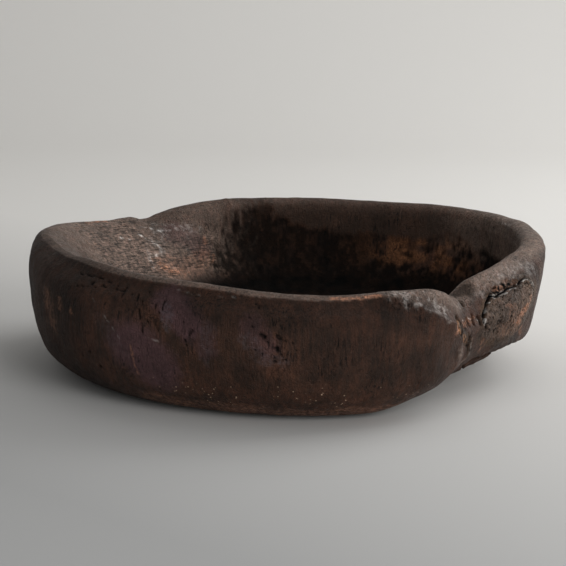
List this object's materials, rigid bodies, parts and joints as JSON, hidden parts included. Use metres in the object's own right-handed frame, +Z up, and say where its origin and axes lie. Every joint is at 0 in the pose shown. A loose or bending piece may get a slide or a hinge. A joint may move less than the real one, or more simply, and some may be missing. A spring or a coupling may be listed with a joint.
{
  "type": "wooden bowl",
  "caption": "Large thick-walled round bowl hewn from one length of log, with a cleft in the rim, a strip of ingrown bark below it and a dead knot beside it.",
  "frame": {"origin": "on the underside, at the middle of the flat foot, where the bowl's upright axis meets the table", "axes": "+Z up out of the bowl's mouth, +Y towards the back wall, +X towards the end with the cleft and the knot"},
  "size_m": [0.6125, 0.6005, 0.1609],
  "materials": {
    "oiled_wood": "dark, waxed, worn satin",
    "dead_wood": "dry, pitted, matt",
    "bark": "rough, matt"
  },
  "bodies": {
    "root": {"bowl_body": "oiled_wood", "encased_knot": "dead_wood", "bark_strip": "bark"}
  },
  "joints": []
}
